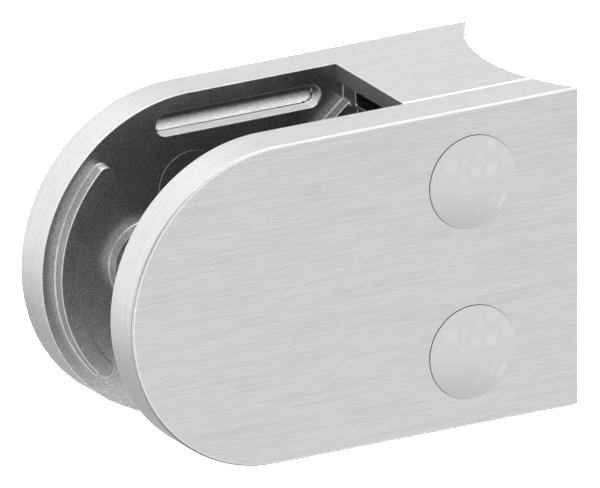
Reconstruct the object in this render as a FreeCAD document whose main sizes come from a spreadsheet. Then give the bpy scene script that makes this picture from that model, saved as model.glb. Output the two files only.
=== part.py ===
import FreeCAD, Part
import os

import Sketcher

# Glass panel clamp with a saddle for a round post.
# Millimetres, +Z up. The origin is where the post screw's axis meets the post, on the saddle's
# deepest line. +X points into the post, -X to the round nose, and the glass lies in the XZ plane.
# Both plates carry the same locating forms for the rubber pads on their inner faces.

# Driving sizes: alias, value, what it sets
SIZES = (
    ("clamp_height", 40.0, "height of both plates; the nose is a full half round"),
    ("saddle_reach", 36.1, "nose centre to the deepest line of the saddle"),
    ("pocket_reach", 20.0, "nose centre to the end wall of the glass pocket"),
    ("glass_gap", 16.0, "between the inner faces of the plates"),
    ("back_thickness", 5.3, "back plate"),
    ("cover_thickness", 5.3, "cover plate"),
    ("post_radius", 21.2, "outer radius of the round post"),
    ("post_clearance", 0.1, "between saddle and post"),
    ("outer_round", 0.4, "rounded outline of both outer faces"),
    ("edge_break", 0.2, "small chamfer along the seam and on the cover's inner outline"),
    ("rim_width", 2.2, "top face to the slots, the wall channel and the cores"),
    ("slot_width", 2.8, "pad slot, across"),
    ("slot_depth", 2.8, "pad slot, down to its half-round floor"),
    ("slot_length", 22.4, "pad slot, end to end"),
    ("slot_setback", 2.0, "pocket wall to the end of the pad slot"),
    ("land_height", 1.65, "how far ribs, bosses and wedge lands stand up"),
    ("rib_inset", 1.75, "outline of the nose to the arc rib"),
    ("rib_width", 2.15, "arc rib, across"),
    ("rib_sweep", 90.0, "arc rib, degrees between its end centres"),
    ("pin_offset", 6.0, "nose centre to the glass pin, towards the nose"),
    ("pin_boss_radius", 4.95, "boss round the glass pin"),
    ("pin_hole_radius", 4.0, "threaded hole and facing socket for the glass pin"),
    ("pin_hole_depth", 4.4, "pin hole, down from the top of its boss"),
    ("pin_hole_lead", 0.5, "chamfer at the mouth of the pin hole"),
    ("disc_radius", 4.43, "low round pads above and below the pin"),
    ("disc_height", 0.08, "low round pads, above the plate"),
    ("disc_shift", 0.36, "nose centre to the low round pads, towards the post"),
    ("disc_pitch", 16.34, "between the centres of the two low round pads"),
    ("wedge_root", 32.7, "wedge land, width at the floor of the wall's hollow"),
    ("wedge_tip", 16.0, "wedge land, width at its blunt end"),
    ("wedge_length", 10.0, "wedge land, along the clamp"),
    ("channel_depth", 1.0, "step in the pocket wall, in line with each slot"),
    ("hollow_depth", 2.0, "hollow in the pocket wall, between the two channels"),
    ("core_depth", 12.95, "cored space over each screw, down from the seam"),
    ("core_length", 9.6, "cored space, on from the floor of the channel"),
    ("screw_wall", 1.85, "metal between a screw and the core above it"),
    ("screw_setback", 6.33, "pocket wall to the cover screws"),
    ("screw_inset", 9.325, "top face to the upper cover screw"),
    ("screw_radius", 3.0, "cover screw shank"),
    ("screw_length", 16.0, "cover screw, overall"),
    ("head_radius", 5.4, "countersunk head of the cover screw"),
    ("head_rim", 0.3, "straight rim of the countersunk head"),
    ("socket_size", 4.0, "hexagon socket, across flats"),
    ("socket_depth", 2.2, "hexagon socket, below the head"),
    ("fit_clearance", 0.05, "round a piece that is seated in its own hole"),
    ("shank_clearance", 0.3, "round the screw shank in the cover plate"),
    ("tapped_depth", 13.5, "full thread below the seam"),
    ("cap_radius", 5.8, "polished cap"),
    ("cap_seat", 1.2, "cap, below the front face"),
    ("cap_stand", 0.12, "straight edge of the cap, above the front face"),
    ("cap_rise", 1.5, "crown of the cap, above its straight edge"),
    ("bore_radius", 4.25, "clearance hole for the post screw"),
    ("bore_head_radius", 7.7, "countersink for the post screw, at the floor of the hollow"),
    ("bore_head_angle", 90.0, "countersink for the post screw, degrees"),
)

# Levels and places worked out from the sheet
HALF_HEIGHT = "(Sizes.clamp_height / 2)"
HALF_GAP = "(Sizes.glass_gap / 2)"
HALF_PITCH = f"({HALF_HEIGHT} - Sizes.screw_inset)"
BACK_Y = f"({HALF_GAP} + Sizes.back_thickness)"
FRONT_Y = f"(-{HALF_GAP} - Sizes.cover_thickness)"
SADDLE_RADIUS = "(Sizes.post_radius + Sizes.post_clearance)"
NOSE_X = "(-Sizes.saddle_reach)"
WALL_X = "(Sizes.pocket_reach - Sizes.saddle_reach)"
CHANNEL_X = f"({WALL_X} + Sizes.channel_depth)"
HOLLOW_X = f"({WALL_X} + Sizes.hollow_depth)"
SCREW_X = f"({WALL_X} + Sizes.screw_setback)"
RIM_Z = f"({HALF_HEIGHT} - Sizes.rim_width)"
HOLLOW_Z = f"({RIM_Z} - Sizes.slot_width)"

# The forms above and below the middle height: name, and the sign of their z
HALVES = (("Upper", ""), ("Lower", "-"))
HEXAGON_SIDES = 6

# Millimetres and cubic millimetres
SAME_PLACE = 1e-4
LEAST_CUT = 1e-3

doc = FreeCAD.newDocument("GlassPanelClamp")


def make_sheet():
    """The sheet that every sketch and feature reads."""
    sheet = doc.addObject("Spreadsheet::Sheet", "Sizes")
    for row, (alias, size, meaning) in enumerate(SIZES, start=1):
        sheet.set(f"A{row}", meaning)
        sheet.set(f"B{row}", str(size))
        sheet.setAlias(f"B{row}", alias)
    doc.recompute()
    return sheet


def value(alias):
    """The number in a cell of the sheet."""
    return float(sizes.get(alias))


def origin_feature(body, role):
    """A plane or axis of the body's own origin."""
    return next(item for item in body.Origin.OriginFeatures if item.Role == role)


def new_body(name):
    """An empty body; its label is the name of the piece."""
    body = doc.addObject("PartDesign::Body", name)
    body.Label = name
    return body


def sketch_on(body, name, role, along="0", across="0", lift="0"):
    """A sketch on an origin plane, shifted along it, across it and off it."""
    sketch = body.newObject("Sketcher::SketchObject", name)
    sketch.AttachmentSupport = [(origin_feature(body, role), "")]
    sketch.MapMode = "FlatFace"
    for axis, shift in (("x", along), ("y", across), ("z", lift)):
        sketch.setExpression(f".AttachmentOffset.Base.{axis}", f"({shift}) * 1 mm")
    return sketch


def plate_sketch(body, name, level_y, along="0"):
    """An upright sketch at y = level_y; its own axes are X and Z, and it faces -Y."""
    return sketch_on(body, name, "XZ_Plane", along=along, lift=f"-{level_y}")


def hold_point(sketch, edge, point, place_x, place_y):
    """Tie one point of an edge to two expressions."""
    drawn = sketch.getPoint(edge, point)
    for kind, start, place in (("DistanceX", drawn.x, place_x), ("DistanceY", drawn.y, place_y)):
        index = sketch.addConstraint(Sketcher.Constraint(kind, -1, 1, edge, point, start))
        sketch.setExpression(f"Constraints[{index}]", f"({place}) * 1 mm")


def join_ends(sketch, *pairs):
    """Join edges end to end; each pair is edge, point, edge, point."""
    for first, first_point, second, second_point in pairs:
        sketch.addConstraint(Sketcher.Constraint("Coincident", first, first_point, second, second_point))


def hold_radius(sketch, edge, radius):
    """Tie a circle's or arc's radius to an expression."""
    index = sketch.addConstraint(Sketcher.Constraint("Radius", edge, 1.0))
    sketch.setExpression(f"Constraints[{index}]", f"({radius}) * 1 mm")


def outline(sketch, corners):
    """A closed outline of straight edges through corners given as expressions."""
    count = len(corners)
    spread = FreeCAD.Rotation(FreeCAD.Vector(0, 0, 1), 360 / count)
    start = [FreeCAD.Vector(1, 0, 0)]
    while len(start) <= count:
        start.append(spread.multVec(start[-1]))
    for first, second in zip(start, start[1:]):
        sketch.addGeometry(Part.LineSegment(first, second), False)
    for edge, (place_x, place_y) in enumerate(corners):
        join_ends(sketch, (edge, 2, (edge + 1) % count, 1))
        hold_point(sketch, edge, 1, place_x, place_y)


def box_outline(sketch, low_x, high_x, low_y, high_y):
    """A rectangle between four expressions."""
    outline(sketch, ((low_x, low_y), (high_x, low_y), (high_x, high_y), (low_x, high_y)))


def circle(sketch, place_x, place_y, radius):
    """A circle with its centre and radius given as expressions."""
    unit = Part.Circle(FreeCAD.Vector(0, 0, 0), FreeCAD.Vector(0, 0, 1), 1.0)
    edge = sketch.addGeometry(unit, False)
    hold_point(sketch, edge, 3, place_x, place_y)
    hold_radius(sketch, edge, radius)


def extrude(body, kind, name, sketch, length, flip=False, middle=False):
    """A pad or pocket; a plate sketch pads towards -Y and pockets towards +Y unless flipped."""
    feature = body.newObject(f"PartDesign::{kind}", name)
    feature.Profile = sketch
    feature.Midplane = middle
    feature.Reversed = flip
    feature.setExpression("Length", f"({length}) * 1 mm")
    return feature


def turn(body, kind, name, sketch, angle="360", middle=False):
    """A revolution or groove about the upright axis of its own sketch."""
    feature = body.newObject(f"PartDesign::{kind}", name)
    feature.Profile = sketch
    feature.ReferenceAxis = (sketch, ["V_Axis"])
    feature.Midplane = middle
    feature.setExpression("Angle", f"({angle}) * 1 deg")
    return feature


def mirror_down(body, features):
    """Each feature again, below the middle height."""
    for feature in features:
        mirrored = body.newObject("PartDesign::Mirrored", f"Lower{feature.Name}")
        mirrored.Originals = [feature]
        mirrored.MirrorPlane = (origin_feature(body, "XY_Plane"), [""])
        body.Tip = mirrored


def dress_outline(body, kind, name, base, level_y, right_x, size):
    """Round or chamfer the edges at one depth that start left of right_x."""
    doc.recompute()
    names = []
    for number, edge in enumerate(base.Shape.Edges, start=1):
        box = edge.BoundBox
        in_plane = max(abs(box.YMin - level_y), abs(box.YMax - level_y)) < SAME_PLACE
        if in_plane and box.XMin < right_x - SAME_PLACE:
            names.append(f"Edge{number}")
    feature = body.newObject(f"PartDesign::{kind}", name)
    feature.Base = (base, names)
    feature.setExpression("Radius" if kind == "Fillet" else "Size", f"Sizes.{size}")
    return feature


def nose_outline(sketch):
    """Half-round nose about the sketch origin, with straight sides that run on into the post."""
    half = value("clamp_height") / 2
    far = value("saddle_reach") + value("post_radius")
    corners = [FreeCAD.Vector(x, z, 0) for x, z in ((0, half), (far, half), (far, -half), (0, -half))]
    for start, end in zip(corners, corners[1:]):
        sketch.addGeometry(Part.LineSegment(start, end), False)
    top, right, bottom = 0, 1, 2
    nose = sketch.addGeometry(Part.Arc(corners[3], FreeCAD.Vector(-half, 0, 0), corners[0]), False)
    join_ends(sketch, (top, 2, right, 1), (right, 2, bottom, 1))
    # The arc may have turned its ends round when it was made
    first = 1 if sketch.getPoint(nose, 1).y > 0 else 2
    join_ends(sketch, (nose, first, top, 1), (nose, 3 - first, bottom, 2), (nose, 3, -1, 1))
    post_line = f"Sizes.saddle_reach + {SADDLE_RADIUS}"
    hold_point(sketch, top, 1, "0", HALF_HEIGHT)
    hold_point(sketch, right, 1, post_line, HALF_HEIGHT)
    hold_point(sketch, bottom, 1, post_line, f"-{HALF_HEIGHT}")
    sketch.addConstraint(Sketcher.Constraint("Vertical", bottom, 2, top, 1))


def cut_saddle(body):
    """The upright round hollow that seats on the post."""
    sketch = sketch_on(body, "SaddleSketch", "XY_Plane")
    circle(sketch, SADDLE_RADIUS, "0", SADDLE_RADIUS)
    return extrude(body, "Pocket", "Saddle", sketch, "2 * Sizes.clamp_height", middle=True)


def add_rib(body, inner_y, top_y, flip):
    """The arc rib: a bar turned about the nose centre, with round ends."""
    outer = f"({HALF_HEIGHT} - Sizes.rib_inset)"
    section = sketch_on(body, "RibSection", "XY_Plane", along=NOSE_X)
    box_outline(section, f"-{outer}", f"Sizes.rib_width - {outer}", inner_y, top_y)
    turn(body, "Revolution", "Rib", section, "Sizes.rib_sweep", middle=True)
    centre = f"({outer} - Sizes.rib_width / 2)"
    ends = plate_sketch(body, "RibEndSketch", inner_y, along=NOSE_X)
    for _, sign in HALVES:
        end_x = f"-{centre} * cos(Sizes.rib_sweep / 2 * 1 deg)"
        end_z = f"{sign}{centre} * sin(Sizes.rib_sweep / 2 * 1 deg)"
        circle(ends, end_x, end_z, "Sizes.rib_width / 2")
    extrude(body, "Pad", "RibEnds", ends, "Sizes.land_height", flip)


def add_pin_boss(body, inner_y, flip):
    """The boss round the glass pin, with a low round pad above and below it."""
    boss = plate_sketch(body, "PinBossSketch", inner_y, along=NOSE_X)
    circle(boss, "-Sizes.pin_offset", "0", "Sizes.pin_boss_radius")
    extrude(body, "Pad", "PinBoss", boss, "Sizes.land_height", flip)
    discs = plate_sketch(body, "LowPadSketch", inner_y, along=NOSE_X)
    for _, sign in HALVES:
        circle(discs, "Sizes.disc_shift", f"{sign}Sizes.disc_pitch / 2", "Sizes.disc_radius")
    extrude(body, "Pad", "LowPads", discs, "Sizes.disc_height", flip)


def cut_pin_hole(body, top_y, into):
    """The blind hole for the glass pin, with a lead-in, turned about the pin's axis."""
    section = sketch_on(body, "PinHoleSection", "XY_Plane", along=f"{NOSE_X} - Sizes.pin_offset")
    floor_y = f"{top_y} {into} Sizes.pin_hole_depth"
    corners = (
        ("0", top_y),
        ("Sizes.pin_hole_radius + Sizes.pin_hole_lead", top_y),
        ("Sizes.pin_hole_radius", f"{top_y} {into} Sizes.pin_hole_lead"),
        ("Sizes.pin_hole_radius", floor_y),
        ("0", floor_y),
    )
    outline(section, corners)
    turn(body, "Groove", "PinHole", section)


def add_wedge(body, inner_y, end_x, flip):
    """The raised wedge in front of the pocket wall, cut off at end_x; the pad's forked tail straddles it."""
    tip_x = f"({HOLLOW_X} - Sizes.wedge_length)"
    spread = "(Sizes.wedge_root - Sizes.wedge_tip) / Sizes.wedge_length"
    end_half = f"(Sizes.wedge_tip + {spread} * ({end_x} - {tip_x})) / 2"
    wedge = plate_sketch(body, "WedgeSketch", inner_y)
    corners = (
        (end_x, end_half),
        (tip_x, "Sizes.wedge_tip / 2"),
        (tip_x, "-Sizes.wedge_tip / 2"),
        (end_x, f"-{end_half}"),
    )
    outline(wedge, corners)
    extrude(body, "Pad", "WedgeLand", wedge, "Sizes.land_height", flip)


def slot_outline(sketch, left_x, right_x, centre_z, half):
    """A slot outline with half-round ends between two centres."""
    radius = value("slot_width") / 2
    run = value("slot_length")
    corners = [FreeCAD.Vector(x, z, 0) for x in (-run, 0) for z in (radius, -radius)]
    left_top, left_low, right_top, right_low = corners
    top = sketch.addGeometry(Part.LineSegment(left_top, right_top), False)
    low = sketch.addGeometry(Part.LineSegment(left_low, right_low), False)
    left_side = FreeCAD.Vector(-run - radius, 0, 0)
    right_side = FreeCAD.Vector(radius, 0, 0)
    for start, side, end, point, centre_x in (
        (left_top, left_side, left_low, 1, left_x),
        (right_low, right_side, right_top, 2, right_x),
    ):
        end_arc = sketch.addGeometry(Part.Arc(start, side, end), False)
        first = 1 if sketch.getPoint(end_arc, 1).y > 0 else 2
        join_ends(sketch, (end_arc, first, top, point), (end_arc, 3 - first, low, point))
        hold_point(sketch, end_arc, 3, centre_x, centre_z)
        hold_point(sketch, top, point, centre_x, f"{centre_z} + {half}")
        sketch.addConstraint(Sketcher.Constraint("Vertical", top, point, low, point))


def cut_slots(body, inner_y, into, flip):
    """Two ball-nosed slots for the pad's beads: straight walls, then a half-round floor."""
    inward = -1 if flip else 1
    half = "(Sizes.slot_width / 2)"
    right_x = f"({WALL_X} - Sizes.slot_setback - {half})"
    left_x = f"({right_x} - Sizes.slot_length + Sizes.slot_width)"
    straight = f"(Sizes.slot_depth - {half})"
    for position, sign in HALVES:
        centre_z = f"{sign}({RIM_Z} - {half})"
        sketch = plate_sketch(body, f"{position}SlotSketch", inner_y)
        slot_outline(sketch, left_x, right_x, centre_z, half)
        extrude(body, "Pocket", f"{position}SlotWalls", sketch, straight, flip)
        floor = body.newObject("PartDesign::SubtractiveCylinder", f"{position}SlotFloor")
        floor.Placement.Rotation = FreeCAD.Rotation(FreeCAD.Vector(0, 1, 0), 90)
        floor.setExpression("Height", f"({right_x} - {left_x}) * 1 mm")
        left_ball = body.newObject("PartDesign::SubtractiveSphere", f"{position}SlotLeftBall")
        right_ball = body.newObject("PartDesign::SubtractiveSphere", f"{position}SlotRightBall")
        # The poles and the seam of a ball lie in the open slot, so its end is one smooth face
        for ball, end in ((left_ball, -1), (right_ball, 1)):
            seam = FreeCAD.Vector(-end, -inward, 0)
            pole = FreeCAD.Vector(end, -inward, 0)
            ball.Placement.Rotation = FreeCAD.Rotation(seam, FreeCAD.Vector(), pole, "ZXY")
        for feature, centre_x in ((floor, left_x), (left_ball, left_x), (right_ball, right_x)):
            feature.setExpression("Radius", f"{half} * 1 mm")
            places = (("x", centre_x), ("y", f"{inner_y} {into} {straight}"), ("z", centre_z))
            for axis, place in places:
                feature.setExpression(f".Placement.Base.{axis}", f"({place}) * 1 mm")


def make_base_body():
    """Back plate, block and saddle in one casting."""
    body = new_body("base_body")
    blank = plate_sketch(body, "BlankSketch", BACK_Y, along=NOSE_X)
    nose_outline(blank)
    pad = extrude(body, "Pad", "Blank", blank, "Sizes.back_thickness + Sizes.glass_gap")
    post_line = value("post_radius") + value("post_clearance")
    half_gap = value("glass_gap") / 2
    back_y = half_gap + value("back_thickness")
    back_round = dress_outline(body, "Fillet", "BackRound", pad, back_y, post_line, "outer_round")

    # The glass pocket is open at the nose, at the top and at the bottom
    gap = plate_sketch(body, "GlassPocketSketch", f"(-{HALF_GAP})")
    past_nose = f"{NOSE_X} - Sizes.clamp_height"
    box_outline(gap, past_nose, WALL_X, "-Sizes.clamp_height", "Sizes.clamp_height")
    pocket = extrude(body, "Pocket", "GlassPocket", gap, "Sizes.glass_gap")
    dress_outline(body, "Chamfer", "SeamEdge", pocket, -half_gap, post_line, "edge_break")
    cut_saddle(body)

    # Hollow in the pocket wall, with a shallower step above and below it
    hollow = plate_sketch(body, "HollowSketch", f"(-{HALF_GAP})")
    box_outline(hollow, WALL_X, HOLLOW_X, f"-{HOLLOW_Z}", HOLLOW_Z)
    extrude(body, "Pocket", "Hollow", hollow, "Sizes.glass_gap")
    step = plate_sketch(body, "ChannelSketch", f"(-{HALF_GAP})")
    box_outline(step, WALL_X, CHANNEL_X, HOLLOW_Z, RIM_Z)
    channel = extrude(body, "Pocket", "Channel", step, "Sizes.glass_gap")

    # Cored space that opens from the floor of each step, over the screw
    space = plate_sketch(body, "CoreSketch", f"(-{HALF_GAP})")
    core_low = f"{HALF_PITCH} + Sizes.screw_radius + Sizes.screw_wall"
    box_outline(space, CHANNEL_X, f"{CHANNEL_X} + Sizes.core_length", core_low, RIM_Z)
    core = extrude(body, "Pocket", "Core", space, "Sizes.core_depth")
    mirror_down(body, [channel, core])

    top_y = f"({HALF_GAP} - Sizes.land_height)"
    add_rib(body, HALF_GAP, top_y, False)
    add_pin_boss(body, HALF_GAP, False)
    cut_pin_hole(body, top_y, "+")
    add_wedge(body, HALF_GAP, HOLLOW_X, False)
    cut_slots(body, HALF_GAP, "+", False)
    cut_tapped_holes(body)
    cut_post_bore(body)
    return body


def cut_tapped_holes(body):
    """Two tapped holes from the seam into the block."""
    sketch = plate_sketch(body, "TappedHoleSketch", f"(-{HALF_GAP})")
    for _, sign in HALVES:
        circle(sketch, SCREW_X, f"{sign}{HALF_PITCH}", "Sizes.screw_radius")
    hole = body.newObject("PartDesign::Hole", "TappedHoles")
    hole.Profile = sketch
    doc.recompute()
    hole.Threaded = False
    hole.HoleCutType = "None"
    hole.DepthType = "Dimension"
    hole.DrillPoint = "Flat"
    hole.setExpression("Diameter", "2 * (Sizes.screw_radius + Sizes.fit_clearance) * 1 mm")
    hole.setExpression("Depth", "Sizes.tapped_depth * 1 mm")


def cut_post_bore(body):
    """The countersunk through hole for the screw that draws the clamp onto the post."""
    sketch = sketch_on(body, "PostBoreSketch", "YZ_Plane", lift=HOLLOW_X)
    circle(sketch, "0", "0", "Sizes.bore_radius")
    hole = body.newObject("PartDesign::Hole", "PostBore")
    hole.Profile = sketch
    doc.recompute()
    hole.Reversed = True
    hole.Threaded = False
    hole.DepthType = "ThroughAll"
    hole.HoleCutType = "Countersink"
    hole.HoleCutCustomValues = True
    hole.setExpression("Diameter", "2 * Sizes.bore_radius * 1 mm")
    hole.setExpression("HoleCutDiameter", "2 * Sizes.bore_head_radius * 1 mm")
    hole.setExpression("HoleCutCountersinkAngle", "Sizes.bore_head_angle * 1 deg")


def make_cover_plate():
    """The front plate, bolted to the block, with seats for two caps over two screws."""
    body = new_body("cover_plate")
    blank = plate_sketch(body, "BlankSketch", FRONT_Y, along=NOSE_X)
    nose_outline(blank)
    pad = extrude(body, "Pad", "Blank", blank, "Sizes.cover_thickness", flip=True)
    post_line = value("post_radius") + value("post_clearance")
    half_gap = value("glass_gap") / 2
    front_y = -half_gap - value("cover_thickness")
    front = dress_outline(body, "Fillet", "FrontRound", pad, front_y, post_line, "outer_round")
    dress_outline(body, "Chamfer", "InnerEdge", front, -half_gap, post_line, "edge_break")
    cut_saddle(body)

    inner_y = f"(-{HALF_GAP})"
    top_y = f"(Sizes.land_height - {HALF_GAP})"
    add_rib(body, inner_y, top_y, True)
    add_pin_boss(body, inner_y, True)
    cut_pin_hole(body, top_y, "-")
    add_wedge(body, inner_y, f"({WALL_X} - Sizes.edge_break)", True)
    cut_slots(body, inner_y, "-", True)

    # Cap seat, countersink and shank hole in one turned cut
    section = sketch_on(body, "ScrewSeatSection", "XY_Plane", along=SCREW_X, lift=HALF_PITCH)
    ledge_y = f"{FRONT_Y} + Sizes.cap_seat"
    cone_radius = "Sizes.head_radius + Sizes.fit_clearance"
    shank_radius = "(Sizes.screw_radius + Sizes.shank_clearance)"
    rim_y = f"{ledge_y} + Sizes.fit_clearance + Sizes.head_rim"
    cone_end_y = f"{rim_y} + {cone_radius} - {shank_radius}"
    seat_radius = "Sizes.cap_radius + Sizes.fit_clearance"
    corners = (
        ("0", FRONT_Y),
        (seat_radius, FRONT_Y),
        (seat_radius, ledge_y),
        (cone_radius, ledge_y),
        (cone_radius, rim_y),
        (shank_radius, cone_end_y),
        (shank_radius, inner_y),
        ("0", inner_y),
    )
    outline(section, corners)
    mirror_down(body, [turn(body, "Groove", "ScrewSeat", section)])
    return body


def place_at_screw(piece, sign, depth_y):
    """Put a round piece on the axis of the upper or lower screw."""
    for axis, place in (("x", SCREW_X), ("y", depth_y), ("z", f"{sign}{HALF_PITCH}")):
        piece.setExpression(f".Placement.Base.{axis}", f"({place}) * 1 mm")


def make_cover_screw(name, sign):
    """A countersunk hexagon socket screw; it lies along +Y with its head at the body's origin."""
    body = new_body(name)
    section = sketch_on(body, "ScrewSection", "XY_Plane")
    cone_end = "Sizes.head_rim + Sizes.head_radius - Sizes.screw_radius"
    corners = (
        ("0", "0"),
        ("Sizes.head_radius", "0"),
        ("Sizes.head_radius", "Sizes.head_rim"),
        ("Sizes.screw_radius", cone_end),
        ("Sizes.screw_radius", "Sizes.screw_length"),
        ("0", "Sizes.screw_length"),
    )
    outline(section, corners)
    turn(body, "Revolution", "Screw", section)
    socket = sketch_on(body, "SocketSketch", "XZ_Plane")
    across_corners = "Sizes.socket_size / sqrt(3)"
    hexagon = []
    for corner in range(HEXAGON_SIDES):
        angle = f"({corner * 360 / HEXAGON_SIDES} deg)"
        hexagon.append((f"{across_corners} * cos{angle}", f"{across_corners} * sin{angle}"))
    outline(socket, hexagon)
    extrude(body, "Pocket", "Socket", socket, "Sizes.socket_depth")
    place_at_screw(body, sign, f"{FRONT_Y} + Sizes.cap_seat + Sizes.fit_clearance")
    return body


def make_screw_cap(name, sign):
    """A polished cap: what a short cylinder along +Y and a large ball behind its crown share."""
    side = doc.addObject("Part::Cylinder", f"{name}_side")
    side.Placement.Rotation = FreeCAD.Rotation(FreeCAD.Vector(0, 0, 1), FreeCAD.Vector(0, 1, 0))
    side.setExpression("Radius", "Sizes.cap_radius * 1 mm")
    side.setExpression("Height", "(Sizes.cap_seat + Sizes.cap_stand + Sizes.cap_rise) * 1 mm")
    crown_y = "(-Sizes.cap_stand - Sizes.cap_rise)"
    side.setExpression(".Placement.Base.y", f"{crown_y} * 1 mm")
    ball = doc.addObject("Part::Sphere", f"{name}_crown")
    ball_radius = "(Sizes.cap_radius ^ 2 + Sizes.cap_rise ^ 2) / (2 * Sizes.cap_rise)"
    ball.setExpression("Radius", f"{ball_radius} * 1 mm")
    ball.setExpression(".Placement.Base.y", f"({crown_y} + {ball_radius}) * 1 mm")
    cap = doc.addObject("Part::Common", name)
    cap.Base = side
    cap.Tool = ball
    cap.Label = name
    place_at_screw(cap, sign, FRONT_Y)
    return cap


def check_document(bodies):
    """Stop on a failed object, an unsound solid, or a feature that changes nothing."""
    for item in doc.Objects:
        if "Invalid" in item.State or "Error" in item.State:
            raise RuntimeError(f"{item.Name} failed: {item.State}")
    for body in bodies:
        shape = body.Shape
        if shape.isNull() or not shape.isValid() or len(shape.Solids) != 1:
            raise RuntimeError(f"{body.Label} is not one sound solid")
        volume = 0.0
        for feature in getattr(body, "Group", ()):
            if not feature.isDerivedFrom("PartDesign::Feature"):
                continue
            if abs(feature.Shape.Volume - volume) < LEAST_CUT:
                raise RuntimeError(f"{body.Label}: {feature.Label} changes nothing")
            volume = feature.Shape.Volume


def export_bodies(bodies):
    """Write each piece to a file named after it."""
    os.makedirs("parts", exist_ok=True)
    for body in bodies:
        body.Shape.exportStep(f"parts/{body.Label}.step")


sizes = make_sheet()
pieces = [make_base_body(), make_cover_plate()]
for position, side in HALVES:
    pieces.append(make_cover_screw(f"cover_screw_{position.lower()}", side))
    pieces.append(make_screw_cap(f"screw_cap_{position.lower()}", side))
doc.recompute()
check_document(pieces)
export_bodies(pieces)
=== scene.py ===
"""Looks of a glass panel clamp: brushed plates, dark cast insides and polished caps, on its own frame."""

from math import cos, hypot, pi, radians, sin, sqrt

import bmesh
import bpy
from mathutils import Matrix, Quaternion, Vector


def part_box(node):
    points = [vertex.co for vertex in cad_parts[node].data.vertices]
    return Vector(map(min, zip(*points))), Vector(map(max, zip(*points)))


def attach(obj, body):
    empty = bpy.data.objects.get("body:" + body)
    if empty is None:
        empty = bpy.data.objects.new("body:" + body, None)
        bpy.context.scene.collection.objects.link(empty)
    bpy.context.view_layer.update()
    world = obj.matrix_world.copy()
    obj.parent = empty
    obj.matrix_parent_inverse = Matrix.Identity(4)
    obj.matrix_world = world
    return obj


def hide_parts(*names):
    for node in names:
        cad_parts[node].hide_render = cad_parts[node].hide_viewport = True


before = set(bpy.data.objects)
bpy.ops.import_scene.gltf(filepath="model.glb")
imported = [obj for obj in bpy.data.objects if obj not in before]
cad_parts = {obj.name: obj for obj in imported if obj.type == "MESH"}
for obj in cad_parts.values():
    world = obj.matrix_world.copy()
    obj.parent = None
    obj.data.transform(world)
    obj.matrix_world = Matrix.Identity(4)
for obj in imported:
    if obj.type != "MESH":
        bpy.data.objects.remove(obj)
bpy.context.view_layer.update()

MM = 0.001
WHITE = (1, 1, 1, 1)

# The view, with angles in degrees
AZIMUTH = -30.0
ELEVATION = 20.0
FRAME_WIDTH = 70.79 * MM
LOOK_AT = Vector((-32.63, -12.25, 6.67)) * MM
CAMERA_DISTANCE = 0.5
CAMERA_REACH = 10.0

# Places on the clamp, from its own box and the sizes of its source; the middle plane is y = 0
BACK_LOW, BACK_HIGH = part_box("base_body")
FACE_Y = BACK_HIGH.y
HALF_HEIGHT = BACK_HIGH.z
NOSE_X = BACK_LOW.x + HALF_HEIGHT
WALL_X = -16.1 * MM
INNER_Y = 8.0 * MM
OUTER_ROUND = 0.4 * MM
EDGE_BREAK = 0.2 * MM
SADDLE_RADIUS = 21.3 * MM
DISC_X = NOSE_X + 0.36 * MM
DISC_Z = 8.17 * MM
DISC_RADIUS = 4.43 * MM
LINE_Y = INNER_Y + 1.85 * MM
CHANNEL_Z = 17.8 * MM
SLOT_LOW = 14.9 * MM
SLOT_HIGH = 17.9 * MM
SLOT_END = WALL_X - 1.5 * MM
PIN_X = NOSE_X - 6.0 * MM
PIN_RADIUS = 4.0 * MM
CAP_EDGE_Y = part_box("screw_cap_upper")[0].y + 1.5 * MM

# How near a place counts as on a surface, and how deep as in a slot
NEAR = 0.02 * MM
SLOT_SKIN = 0.05 * MM
DISC_NEAR = 0.06 * MM
DISC_DEPTH = 0.1 * MM
OUTER_NEAR = 1.5 * OUTER_ROUND
RIM_BREAK_NEAR = EDGE_BREAK / 4

# How the mesh is refined: lengths, angles, steps, and how squarely a face has to look out or up
WELD = 0.002 * MM
CORNER_WELD = 0.55 * MM
FLAT_ANGLE = radians(0.3)
CREASE_ANGLE = radians(32)
CREASE_WIDTH = 0.15 * MM
CREASE_STEPS = 2
OUTLINE_ANGLE = radians(60)
OUTLINE_STEPS = 6
LINE_WIDTH = 0.1 * MM
LINE_DEPTH = 0.08 * MM
LINE_STEPS = 2
CUT_WELD = WELD / 10
FACING = 0.9
LIP_FACING = 0.7
LARGE_FACE_WEIGHT = 100

# The thread in the pin hole: its ridge reaches from the root to the crest, and half its width is a
# share of the pitch
THREAD_START = 7.2 * MM
THREAD_PITCH = 0.7 * MM
THREAD_HALF = 0.4
THREAD_TURNS = 4
THREAD_STEPS = 64
THREAD_ROOT = PIN_RADIUS + NEAR
THREAD_CREST = PIN_RADIUS - 0.3 * MM

# Noise: the range that most of it covers, and its roughness
NOISE_LOW = 0.3
NOISE_HIGH = 0.7
NOISE_ROUGHNESS = 0.6

# Brushed steel: noise cells per metre along and across its lines, how much broader its second noise is,
# and how much its levels vary
ALONG_LINES = 350
ACROSS_LINES = 14000
ACROSS_TURNING = 9000
BROAD_FACTOR = 6
BRUSH_SPREAD = 0.05
BRUSH_ROUGHNESS = (0.26, 0.34)
BRUSH_BUMP = 0.001 * MM

# Painted shade and a painted highlight along the rounded outline, by depth from the middle plane: start, end
# and change of tone; a darker band, then a bright line
OUTLINE_SHADE_AND_HIGHLIGHT = (
    (12.98 * MM, 13.24 * MM, -0.2),
    (13.24 * MM, 13.29 * MM, 0.25),
)
LINE_FADE = 0.005 * MM
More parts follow.
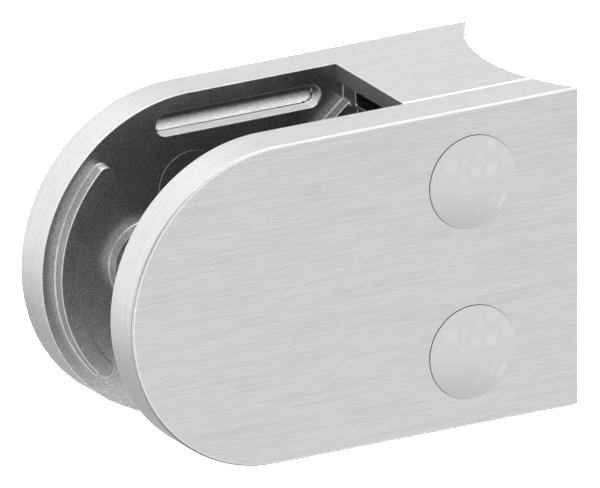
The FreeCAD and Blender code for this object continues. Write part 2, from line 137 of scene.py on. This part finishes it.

# Cast, milled, polished and plain metal, and the painted highlight on rounded creases: noise cells per metre,
# and the levels they vary between
CAST_CELLS = 4600
CAST_BUMP = 0.006 * MM
CLOUD_CELLS = 300
CLOUD_LEVELS = (0.95, 1.05)
MILLED_CELLS = 5000
MILLED_LEVELS = (0.035, 0.08)
MILLED_BUMP = 0.015 * MM
EDGE_HIGHLIGHT_CELLS = 900
EDGE_HIGHLIGHT_LEVELS = (0.6, 0.8)
CAP_CELLS = 400
# The caps' straight edge has a darker level: painted shade for the gap round each cap
CAP_LEVEL, CAP_SHADED_EDGE_LEVEL = 0.6, 0.45
CAP_ROUGHNESS = (0.09, 0.12)
PLAIN_CELLS = 800
PLAIN_ROUGHNESS_SPREAD = 0.05

# Painted shade on the castings along the clamp, as shares of their tone added up: from, to, and where in x
# each change starts and ends; darker towards the pocket's middle, a little lighter again near the end wall
CAST_PAINTED_SHADE = (
    (1.0, 0.65, -44 * MM, -31 * MM),
    (0.0, 0.2, -21 * MM, -15 * MM),
)

# The surround's brightness by elevation, in degrees and in levels where 1 is the paper white
SKY_STRENGTH = 3.0
SKY_STOPS = ((-90, 0.3), (-65, 0.85), (-38, 1.0), (-10, 1.06), (15, 1.06), (40, 1.1), (62, 2.2), (90, 2.6))

# Broad glows: azimuth, elevation and reach in degrees, and level
GLOWS = (
    (214, 24, 60, 0.32),
    (180, -42, 42, -0.38),
    (54, 56, 32, 1.2),
    (-66, -15, 28, 1.1),
    (-112, -20, 30, -0.3),
)

# Soft light panels: azimuth, elevation, half width, half height and roll in degrees, and level
PANELS = (
    (-5, 6, 8.5, 7.5, 0, 0.05),
    (13, 8, 4, 4, 0, 0.05),
    (33, 10, 5.5, 4.5, 0, 0.06),
    (53, 13, 6, 4.5, 0, 0.07),
    (68, -4, 5, 5.5, 0, 0.05),
    (80, -9, 3, 2.5, 0, 0.12),
    (-12, -8, 5, 4.3, 0, 0.03),
    (9, -11, 4.2, 3.8, 0, 0.05),
    (25, -5, 5.5, 4.5, 0, 0.09),
    (45, -8, 6.4, 4.8, 0, 0.11),
    (17, -21, 3.8, 3.4, 0, 0.04),
    (9, -24, 33, 0.6, -12, 0.08),
    (59, -36, 4, 3.5, 0, 0.08),
    (78, -36, 4, 4.3, 0, 0.12),
    (43, -46, 4, 3, 0, 0.09),
)
PANEL_BLUR = 0.025

# The floor, and the key lights with their angles in degrees
FLOOR_REACH = 3.0
FLOOR_TONE = 0.75
FLOOR_GLOW = 0.8
KEY_AZIMUTHS = (-10, 190)
KEY_ELEVATION = 41
KEY_LEVEL = 47.0
KEY_SPREAD = 24

# A plate's material slots, in the order of FINISHES
FACE, RIM, CAST, SLOT, SADDLE, EDGE, RIM_BREAK, GROOVE, HOLE, WALL = range(10)


def direction(azimuth, elevation):
    """A unit vector: azimuth 0 is towards the front, 90 towards +X."""
    turn, rise = radians(azimuth), radians(elevation)
    return Vector((sin(turn) * cos(rise), -cos(turn) * cos(rise), sin(rise)))


def add_object(name, data):
    """A new object in the scene."""
    added = bpy.data.objects.new(name, data)
    bpy.context.scene.collection.objects.link(added)
    return added


def add_camera():
    """A parallel view, as in a product drawing."""
    data = bpy.data.cameras.new("camera")
    data.type = "ORTHO"
    data.ortho_scale = FRAME_WIDTH
    data.clip_end = CAMERA_REACH
    camera = add_object("camera", data)
    camera.location = LOOK_AT + direction(AZIMUTH, ELEVATION) * CAMERA_DISTANCE
    camera.rotation_euler = (radians(90 - ELEVATION), 0, radians(AZIMUTH))
    bpy.context.scene.camera = camera


class Graph:
    """A node tree, with short calls that add and join its nodes."""

    def __init__(self, owner):
        owner.use_nodes = True
        self.tree = owner.node_tree
        self.tree.nodes.clear()

    def put(self, socket, source):
        """Join a socket to another, or set its number."""
        if hasattr(source, "is_output"):
            self.tree.links.new(source, socket)
        else:
            socket.default_value = source

    def add(self, kind, inputs=(), **settings):
        """A new node with its settings and inputs."""
        node = self.tree.nodes.new("ShaderNode" + kind)
        for name, setting in settings.items():
            setattr(node, name, setting)
        for name, source in dict(inputs).items():
            self.put(node.inputs[name], source)
        return node

    def fold(self, operation, first, *rest):
        """Values joined in turn by one operation."""
        for source in rest:
            first = self.add("Math", {0: first, 1: source}, operation=operation).outputs[0]
        return first

    def sum(self, *sources):
        """Values added up."""
        return self.fold("ADD", *sources)

    def product(self, *sources):
        """Values multiplied."""
        return self.fold("MULTIPLY", *sources)

    def absolute(self, source):
        """A value without its sign."""
        return self.add("Math", {0: source}, operation="ABSOLUTE").outputs[0]

    def dot(self, vector, along):
        """How far a vector reaches along a direction."""
        return self.add("VectorMath", {0: vector, 1: along}, operation="DOT_PRODUCT").outputs["Value"]

    def axis(self, vector, name):
        """A vector's X, Y or Z."""
        return self.add("SeparateXYZ", {"Vector": vector}).outputs[name]

    def span(self, source, low, high, start=NOISE_LOW, end=NOISE_HIGH, smooth=False):
        """A value brought from one range to another."""
        fields = {"Value": source, "From Min": start, "From Max": end, "To Min": low, "To Max": high}
        kind = "SMOOTHSTEP" if smooth else "LINEAR"
        return self.add("MapRange", fields, interpolation_type=kind).outputs[0]

    def grey(self, source):
        """A value as a neutral colour."""
        return self.add("CombineColor", {"Red": source, "Green": source, "Blue": source}).outputs[0]


class Finish(Graph):
    """A material of one shader, with noise in the clamp's own space."""

    def __init__(self, name):
        self.material = bpy.data.materials.new(name)
        super().__init__(self.material)
        self.shader = self.add("BsdfPrincipled")
        self.add("OutputMaterial", {"Surface": self.shader.outputs["BSDF"]})
        self.place = self.add("TexCoord").outputs["Object"]

    def set(self, **inputs):
        """Inputs of the shader, with _ for a space."""
        for name, source in inputs.items():
            self.put(self.shader.inputs[name.replace("_", " ")], source)

    def noise(self, cells, detail=2.0):
        """Noise with a number of cells per metre along each axis."""
        mapping = self.add("Mapping", {"Vector": self.place, "Scale": cells})
        fields = {"Vector": mapping.outputs[0], "Scale": 1.0, "Detail": detail, "Roughness": NOISE_ROUGHNESS}
        return self.add("TexNoise", fields).outputs["Fac"]

    def even_noise(self, cells, detail=2.0):
        """Noise that is alike along all axes."""
        return self.noise((cells, cells, cells), detail)

    def bump(self, height, distance):
        """A normal from a height between 0 and 1."""
        return self.add("Bump", {"Height": height, "Strength": 1.0, "Distance": distance}).outputs[0]


def brushed(name, cells, tone=0.585, outline_shade_and_highlight=()):
    """Steel with fine brush lines, long where the cells are few, and a painted dark band and painted
    highlight along its rounded outline.
    """
    nodes = Finish(name)
    lines = nodes.noise(cells, detail=3.0)
    broad = nodes.noise([part / BROAD_FACTOR for part in cells])
    fine_level = nodes.span(lines, tone - BRUSH_SPREAD, tone + BRUSH_SPREAD)
    level = nodes.sum(fine_level, nodes.span(broad, -BRUSH_SPREAD / 2, BRUSH_SPREAD / 2))
    depth = nodes.absolute(nodes.axis(nodes.place, "Y"))
    # Painted shade and painted highlight bands along the rounded outline
    for start, end, change in outline_shade_and_highlight:
        begun = nodes.span(depth, 0.0, change, start - LINE_FADE, start + LINE_FADE)
        ended = nodes.span(depth, 0.0, -change, end - LINE_FADE, end + LINE_FADE)
        level = nodes.sum(level, begun, ended)
    nodes.set(Metallic=1.0, Base_Color=nodes.grey(level), Roughness=nodes.span(lines, *BRUSH_ROUGHNESS))
    nodes.set(Normal=nodes.bump(lines, BRUSH_BUMP))
    return nodes.material


def cast(name, low, high, rough=0.32):
    """Blasted casting: dark, matt and fine-grained, with painted shade that makes it darker towards the
    pocket's middle.
    """
    nodes = Finish(name)
    grain = nodes.even_noise(CAST_CELLS)
    clouds = nodes.even_noise(CLOUD_CELLS, detail=3.0)
    along = nodes.axis(nodes.place, "X")
    # Painted shade along the clamp's length
    shade = nodes.sum(*(nodes.span(along, *change, smooth=True) for change in CAST_PAINTED_SHADE))
    level = nodes.product(nodes.span(grain, low, high), nodes.span(clouds, *CLOUD_LEVELS), shade)
    nodes.set(Metallic=1.0, Base_Color=nodes.grey(level), Roughness=rough)
    nodes.set(Normal=nodes.bump(grain, CAST_BUMP))
    return nodes.material


def milled(name):
    """Rough-cut metal in the pad slots, with a weak shine."""
    nodes = Finish(name)
    grain = nodes.even_noise(MILLED_CELLS)
    level = nodes.span(grain, *MILLED_LEVELS)
    nodes.set(Base_Color=nodes.grey(level), Roughness=0.5, Specular_IOR_Level=0.2)
    nodes.set(Normal=nodes.bump(grain, MILLED_BUMP))
    return nodes.material


def highlighted_edge(name):
    """Rounded creases with a painted highlight: a brighter tone for the light they catch."""
    nodes = Finish(name)
    highlight_noise = nodes.even_noise(EDGE_HIGHLIGHT_CELLS, detail=3.0)
    nodes.set(Metallic=1.0, Base_Color=nodes.grey(nodes.span(highlight_noise, *EDGE_HIGHLIGHT_LEVELS)), Roughness=0.28)
    return nodes.material


def polished(name):
    """Mirror-polished steel, with painted shade that darkens the caps' straight edge where it stands in its
    seat.
    """
    nodes = Finish(name)
    haze = nodes.even_noise(CAP_CELLS)
    depth = nodes.axis(nodes.place, "Y")
    # Painted shade on the caps' straight edge
    level = nodes.span(depth, CAP_LEVEL, CAP_SHADED_EDGE_LEVEL, CAP_EDGE_Y - NEAR, CAP_EDGE_Y + NEAR)
    nodes.set(Metallic=1.0, Base_Color=nodes.grey(level), Roughness=nodes.span(haze, *CAP_ROUGHNESS))
    return nodes.material


def plain(name, tone, rough):
    """Plain steel for the hidden screws."""
    nodes = Finish(name)
    haze = nodes.even_noise(PLAIN_CELLS)
    roughness = nodes.span(haze, rough - PLAIN_ROUGHNESS_SPREAD, rough + PLAIN_ROUGHNESS_SPREAD)
    nodes.set(Metallic=1.0, Base_Color=(tone, tone, tone, 1), Roughness=roughness)
    return nodes.material


def from_nose(place):
    """How far a place is from the nose's centre, or from the middle line of the straight part."""
    return hypot(min(place.x - NOSE_X, 0), place.z)


def on_face(place, side):
    """A place on a plate's outer face."""
    return place.y * side > FACE_Y - WELD


def on_rim(place):
    """A place on the outline's own surface: the top, the bottom or the nose."""
    return from_nose(place) > HALF_HEIGHT - WELD


def on_saddle(place):
    """A place on the round end that fits the post."""
    return hypot(place.x - SADDLE_RADIUS, place.y) < SADDLE_RADIUS + NEAR


def in_slot(place, side, grow=0.0):
    """A place in one of the pad slots, or within a margin round it."""
    inside = SLOT_LOW - grow < abs(place.z) < SLOT_HIGH + grow and place.x < SLOT_END + grow
    return inside and place.y * side > INNER_Y + SLOT_SKIN - grow


def region(centre, normal, side):
    """Which finish a face has; side is 1 for the back plate and -1 for the cover."""
    depth, reach = centre.y * side, from_nose(centre)
    if on_saddle(centre):
        return SADDLE
    if depth > FACE_Y - NEAR and normal.y * side > FACING:
        return FACE
    if reach > HALF_HEIGHT - OUTER_ROUND - NEAR and depth > FACE_Y - OUTER_ROUND - NEAR:
        return FACE
    if HALF_HEIGHT - EDGE_BREAK - NEAR < reach < HALF_HEIGHT - RIM_BREAK_NEAR and centre.x < WALL_X:
        return RIM_BREAK
    if reach > HALF_HEIGHT - EDGE_BREAK - NEAR:
        return RIM
    if in_slot(centre, side):
        return SLOT
    if hypot(centre.x - PIN_X, centre.z) < PIN_RADIUS + NEAR:
        return HOLE
    if abs(centre.x - WALL_X) < NEAR:
        return WALL
    return CAST


def at_channel(place):
    """A place on the pocket's end wall, where a channel opens in it."""
    return abs(place.x - WALL_X) < NEAR and abs(place.z) > CHANNEL_Z - NEAR and abs(place.y) > INNER_Y - NEAR


def at_disc(place, disc_z):
    """A place round the rim of a low disc."""
    return abs(hypot(place.x - DISC_X, place.z - disc_z) - DISC_RADIUS) < DISC_NEAR


def is_crease(edge, side):
    """An edge that gets rounded; the outer rounding, the rim's dark edge break, tool line, channels and low
    discs keep theirs.
    """
    if edge.calc_face_angle(0) < CREASE_ANGLE:
        return False
    if any(face.material_index in (RIM_BREAK, GROOVE) for face in edge.link_faces):
        return False
    ends = [vert.co for vert in edge.verts]
    if all(end.y * side > FACE_Y - OUTER_NEAR for end in ends):
        return False
    if all(at_channel(end) for end in ends):
        return False
    round_disc = any(all(at_disc(end, disc_z) for end in ends) for disc_z in (DISC_Z, -DISC_Z))
    return not (round_disc and ends[0].y * side > INNER_Y - DISC_DEPTH)


def bevel(form, edges, width, steps):
    """Edges rounded over a width; gives the new faces."""
    rounded = bmesh.ops.bevel(
        form, geom=edges, offset=width, offset_type="OFFSET", segments=steps, profile=0.5,
        affect="EDGES", clamp_overlap=False, material=-1, loop_slide=True,
    )
    form.normal_update()
    return rounded["faces"]


def sharpen_outline(form, side):
    """A plate's outer rounding drawn out to a sharp edge, with even steps round the nose."""
    saddle_x = SADDLE_RADIUS - sqrt(SADDLE_RADIUS ** 2 - FACE_Y ** 2)
    corner = []
    for vert in form.verts:
        place = vert.co
        outward = Vector((min(place.x - NOSE_X, 0), 0, place.z))
        reach = outward.length
        if place.y * side < FACE_Y - OUTER_ROUND - WELD or reach < HALF_HEIGHT - OUTER_ROUND - WELD:
            continue
        outward *= HALF_HEIGHT / reach
        if on_saddle(place):
            place.x = saddle_x
        elif outward.x < 0:
            place.x = NOSE_X + outward.x
        place.y, place.z = FACE_Y * side, outward.z
        corner.append(vert)
    bmesh.ops.remove_doubles(form, verts=corner, dist=WELD)
    on_nose = [vert for vert in corner if vert.is_valid and vert.co.x < NOSE_X - CORNER_WELD]
    bmesh.ops.remove_doubles(form, verts=on_nose, dist=CORNER_WELD)
    bmesh.ops.dissolve_degenerate(form, edges=form.edges, dist=WELD)
    form.normal_update()


def round_outline(form, side):
    """The outer rounding made anew with even steps."""
    sharpen_outline(form, side)
    flat = []
    for edge in form.edges:
        places = [vert.co for vert in edge.verts]
        level = all(on_face(place, side) for place in places) or all(on_rim(place) for place in places)
        if level and edge.calc_face_angle(pi) < FLAT_ANGLE:
            flat.append(edge)
    bmesh.ops.dissolve_limit(form, angle_limit=FLAT_ANGLE, verts=[], edges=flat, delimit=set())
    form.normal_update()
    outline = []
    for edge in form.edges:
        first, last = (vert.co for vert in edge.verts)
        at_corner = all(on_face(place, side) and on_rim(place) for place in (first, last))
        upright = abs(first.z - last.z) > HALF_HEIGHT
        if at_corner and not upright and edge.calc_face_angle(0) > OUTLINE_ANGLE:
            outline.append(edge)
    bevel(form, outline, OUTER_ROUND, OUTLINE_STEPS)


def add_tool_line(form, side):
    """The fine groove that the cutter leaves round a pad slot, where its wall meets the floor; its faces take
    a darker finish, painted shade in the crease.
    """
    slot_faces = [face for face in form.faces if face.material_index == SLOT]
    parts = dict.fromkeys(part for face in slot_faces for part in (face, *face.edges, *face.verts))
    cut = bmesh.ops.bisect_plane(
        form, geom=list(parts), plane_co=(0, LINE_Y * side, 0), plane_no=(0, 1, 0), dist=CUT_WELD,
    )
    line = [part for part in cut["geom_cut"] if isinstance(part, bmesh.types.BMEdge)]
    bevel(form, line, LINE_WIDTH, LINE_STEPS)
    middle = [
        vert for vert in form.verts
        if vert.is_manifold and abs(vert.co.y * side - LINE_Y) < LINE_WIDTH / 4
        and all(face.material_index == SLOT for face in vert.link_faces)
    ]
    for vert in middle:
        vert.co -= vert.normal * LINE_DEPTH
        for face in vert.link_faces:
            face.material_index = GROOVE


def weigh_normals(piece):
    """Shading that follows a piece's large faces, kept in its mesh."""
    weigh = piece.modifiers.new("weigh", "WEIGHTED_NORMAL")
    weigh.keep_sharp = True
    weigh.weight = LARGE_FACE_WEIGHT
    graph = bpy.context.evaluated_depsgraph_get()
    baked = bpy.data.meshes.new_from_object(piece.evaluated_get(graph))
    piece.modifiers.clear()
    piece.data = baked


def refine(node, side):
    """A new mesh of the same form for a plate: finishes by region, and rounded creases."""
    form = bmesh.new()
    form.from_mesh(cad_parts[node].data)
    bmesh.ops.remove_doubles(form, verts=form.verts, dist=WELD)
    round_outline(form, side)
    for face in form.faces:
        face.material_index = region(face.calc_center_median(), face.normal, side)
    bmesh.ops.dissolve_limit(
        form, angle_limit=FLAT_ANGLE, verts=form.verts, edges=form.edges, delimit={"MATERIAL"},
    )
    form.normal_update()
    add_tool_line(form, side)
    creases = [edge for edge in form.edges if is_crease(edge, side)]
    # Rounded creases get the brighter edge finish, a painted highlight, except lips in the slots
    for face in bevel(form, creases, CREASE_WIDTH, CREASE_STEPS):
        is_lip = face.normal.z > LIP_FACING and in_slot(face.calc_center_median(), side, CREASE_WIDTH)
        face.material_index = SLOT if is_lip else EDGE
    for edge in form.edges:
        if edge.calc_face_angle(0) > CREASE_ANGLE:
            edge.smooth = False
    for face in form.faces:
        face.smooth = True
    mesh = bpy.data.meshes.new(f"{node}_finished")
    form.to_mesh(mesh)
    form.free()
    piece = add_object(f"{node}_finished", mesh)
    weigh_normals(piece)
    for material in FINISHES:
        piece.data.materials.append(material)
    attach(piece, "root")
    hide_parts(node)


def add_pin_thread():
    """The thread in the back plate's pin hole: one ridge of three corners, wound down its wall."""
    section = ((THREAD_ROOT, -THREAD_HALF), (THREAD_CREST, 0.0), (THREAD_ROOT, THREAD_HALF))
    count = THREAD_TURNS * THREAD_STEPS
    corners, faces = [], [(0, 1, 2), tuple(3 * count + corner for corner in (2, 1, 0))]
    for step in range(count + 1):
        turn = 2 * pi * step / THREAD_STEPS
        for radius, shift in section:
            depth = THREAD_START + THREAD_PITCH * (step / THREAD_STEPS + shift)
            corners.append((PIN_X + radius * cos(turn), depth, radius * sin(turn)))
    for start in range(0, 3 * count, 3):
        for corner, after in ((0, 1), (1, 2), (2, 0)):
            faces.append((start + corner, start + corner + 3, start + after + 3, start + after))
    mesh = bpy.data.meshes.new("pin_thread")
    mesh.from_pydata(corners, [], faces)
    # The thread's ridge takes the painted highlight of the rounded creases
    mesh.materials.append(FINISHES[EDGE])
    piece = add_object("pin_thread", mesh)
    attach(piece, "root")


def add_floor():
    """A plain pale floor under the clamp."""
    mesh = bpy.data.meshes.new("floor")
    ways = ((-1, -1), (1, -1), (1, 1), (-1, 1))
    corners = [(FLOOR_REACH * x_way, FLOOR_REACH * y_way, -HALF_HEIGHT) for x_way, y_way in ways]
    mesh.from_pydata(corners, [], [(0, 1, 2, 3)])
    floor = add_object("floor", mesh)
    nodes = Finish("pale_floor")
    nodes.set(Base_Color=(FLOOR_TONE, FLOOR_TONE, FLOOR_TONE, 1), Roughness=0.9)
    nodes.set(Specular_IOR_Level=0.0, Emission_Color=WHITE, Emission_Strength=FLOOR_GLOW)
    mesh.materials.append(nodes.material)
    floor.visible_glossy = False
    floor.visible_diffuse = False


def add_key_lights():
    """Soft lights from high in front and behind, which reach down into the pad slots."""
    for azimuth in KEY_AZIMUTHS:
        data = bpy.data.lights.new("key", "SUN")
        data.energy = KEY_LEVEL
        data.angle = radians(KEY_SPREAD)
        light = add_object("key", data)
        light.rotation_euler = direction(azimuth, KEY_ELEVATION).to_track_quat("Z", "Y").to_euler()
        light.visible_glossy = False


def add_surround():
    """A studio surround: bright overhead, even along the horizon, with soft glows and light panels."""
    world = bpy.data.worlds.new("surround")
    graph = Graph(world)
    place = graph.add("TexCoord").outputs["Generated"]
    height = graph.axis(place, "Z")
    ramp = graph.add("ValToRGB", {"Fac": graph.span(height, 0.0, 1.0, -1.0, 1.0)})
    stops = ramp.color_ramp.elements
    while len(stops) < len(SKY_STOPS):
        stops.new(0.5)
    for stop, (rise, level) in zip(stops, SKY_STOPS):
        tone = level / SKY_STRENGTH
        stop.position = (1 + sin(radians(rise))) / 2
        stop.color = (tone, tone, tone, 1)
    light = graph.product(ramp.outputs[0], SKY_STRENGTH)
    for azimuth, elevation, reach, level in GLOWS:
        along = graph.dot(place, direction(azimuth, elevation))
        light = graph.sum(light, graph.span(along, 0.0, level, cos(radians(reach)), 1.0, smooth=True))
    for azimuth, elevation, wide, tall, roll, level in PANELS:
        forward = direction(azimuth, elevation)
        right = forward.cross(Vector((0, 0, 1))).normalized()
        right.rotate(Quaternion(forward, radians(roll)))
        along = graph.dot(place, forward)
        shares = [graph.product(graph.fold("GREATER_THAN", along, 0.0), level)]
        for axis, size in ((right, wide), (right.cross(forward), tall)):
            off = graph.absolute(graph.fold("DIVIDE", graph.dot(place, axis), along))
            edge = sin(radians(size))
            shares.append(graph.span(off, 1.0, 0.0, edge - PANEL_BLUR, edge + PANEL_BLUR, smooth=True))
        light = graph.sum(light, graph.product(*shares))
    ground = graph.add("Background", {"Color": graph.grey(light)})
    graph.add("OutputWorld", {"Surface": ground.outputs[0]})
    bpy.context.scene.world = world


bpy.context.scene.view_settings.view_transform = "Standard"
add_camera()
add_floor()
add_surround()
add_key_lights()

FINISHES = (
    brushed("brushed_face", (ALONG_LINES, ALONG_LINES, ACROSS_LINES), outline_shade_and_highlight=OUTLINE_SHADE_AND_HIGHLIGHT),
    brushed("brushed_rim", (ALONG_LINES, ACROSS_LINES, ALONG_LINES)),
    cast("cast_inside", low=0.35, high=0.66),
    milled("milled_slot"),
    brushed("turned_saddle", (ALONG_LINES, ALONG_LINES, ACROSS_TURNING), tone=0.5),
    highlighted_edge("painted_highlight_edge"),
    # A near-black tone on the pocket rim's inner edge break, which draws it as a thin dark line
    cast("dark_rim_break", low=0.01, high=0.02),
    # A darker tone in the tool line's groove: painted shade in the crease
    cast("painted_shade_groove", low=0.18, high=0.3),
    # A darker tone in the pin hole: painted shade in the recess
    cast("painted_shade_hole", low=0.15, high=0.3),
    # A darker, rougher tone on the pocket's end wall: the darker tone is painted shade deep in the pocket
    cast("shaded_pocket_wall", low=0.19, high=0.29, rough=0.6),
)
refine("base_body", 1)
refine("cover_plate", -1)
add_pin_thread()

CAP = polished("polished_cap")
SCREW = plain("plain_screw", tone=0.5, rough=0.35)
for node, material in (
    ("cover_screw_upper", SCREW),
    ("cover_screw_lower", SCREW),
    ("screw_cap_upper", CAP),
    ("screw_cap_lower", CAP),
):
    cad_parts[node].material_slots[0].material = material
